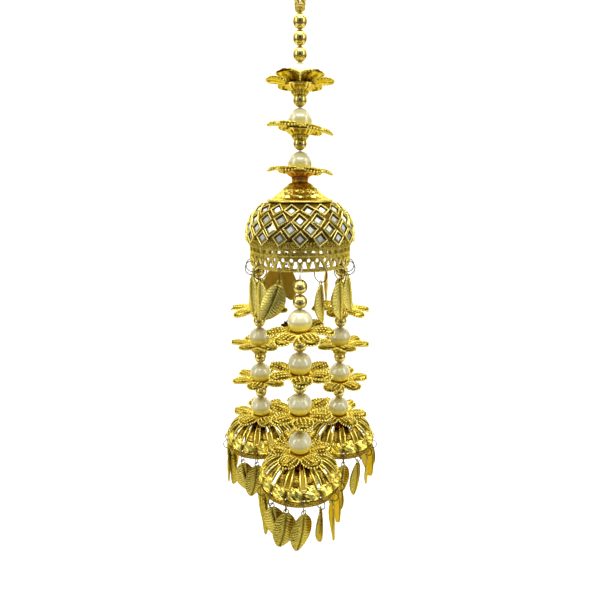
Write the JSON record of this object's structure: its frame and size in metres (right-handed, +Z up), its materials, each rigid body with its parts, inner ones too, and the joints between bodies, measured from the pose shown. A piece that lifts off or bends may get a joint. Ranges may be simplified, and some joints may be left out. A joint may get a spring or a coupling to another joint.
{
  "type": "kalire bridal ornament",
  "caption": "Hanging wedding ornament: corded loop, pearls and flower cups over a stone-set bell, with long bead strands that end in open cages fringed with leaf drops.",
  "frame": {"origin": "inside top of the hanging loop, where it bears on a finger or hook", "axes": "+Z up along the main thread; -Y towards the front strand; +X to the right as seen from the front"},
  "size_m": [0.077, 0.0722, 0.2338],
  "materials": {
    "gold": "polished yellow gold plate",
    "antique_gold": "stamped gold plate with brown in its hollows",
    "leaf_gold": "matte veined gold plate",
    "pearl": "ivory pearl lacquer",
    "stone": "foil-backed glass",
    "cord_gold": "braided metallic yarn",
    "thread": "waxed thread"
  },
  "bodies": {
    "root": {"hang_cord": "cord_gold", "top_knot": "cord_gold", "main_thread": "thread", "top_bead_1": "gold", "top_bead_2": "gold", "top_bead_3": "gold", "top_bead_4": "gold", "top_bead_5": "gold", "top_pearl_1": "pearl", "top_pearl_2": "pearl", "top_pearl_3": "pearl", "top_flower_1": "gold", "top_flower_2": "gold", "top_flower_3": "gold", "bell_cap": "antique_gold", "bell": "antique_gold", "stones": "stone", "pierced_band": "antique_gold", "band_rings": "gold", "band_leaves": "leaf_gold", "front_thread": "thread", "front_beads": "gold", "front_pearls": "pearl", "front_flower_1": "gold", "front_flower_2": "gold", "front_flower_3": "gold", "front_flower_4": "gold", "front_cage": "gold", "front_cage_rings": "gold", "front_cage_leaves": "leaf_gold", "left_thread": "thread", "left_beads": "gold", "left_pearls": "pearl", "left_flower_1": "gold", "left_flower_2": "gold", "left_flower_3": "gold", "left_flower_4": "gold", "left_cage": "gold", "left_cage_rings": "gold", "left_cage_leaves": "leaf_gold", "right_thread": "thread", "right_beads": "gold", "right_pearls": "pearl", "right_flower_1": "gold", "right_flower_2": "gold", "right_flower_3": "gold", "right_flower_4": "gold", "right_cage": "gold", "right_cage_rings": "gold", "right_cage_leaves": "leaf_gold"}
  },
  "joints": []
}
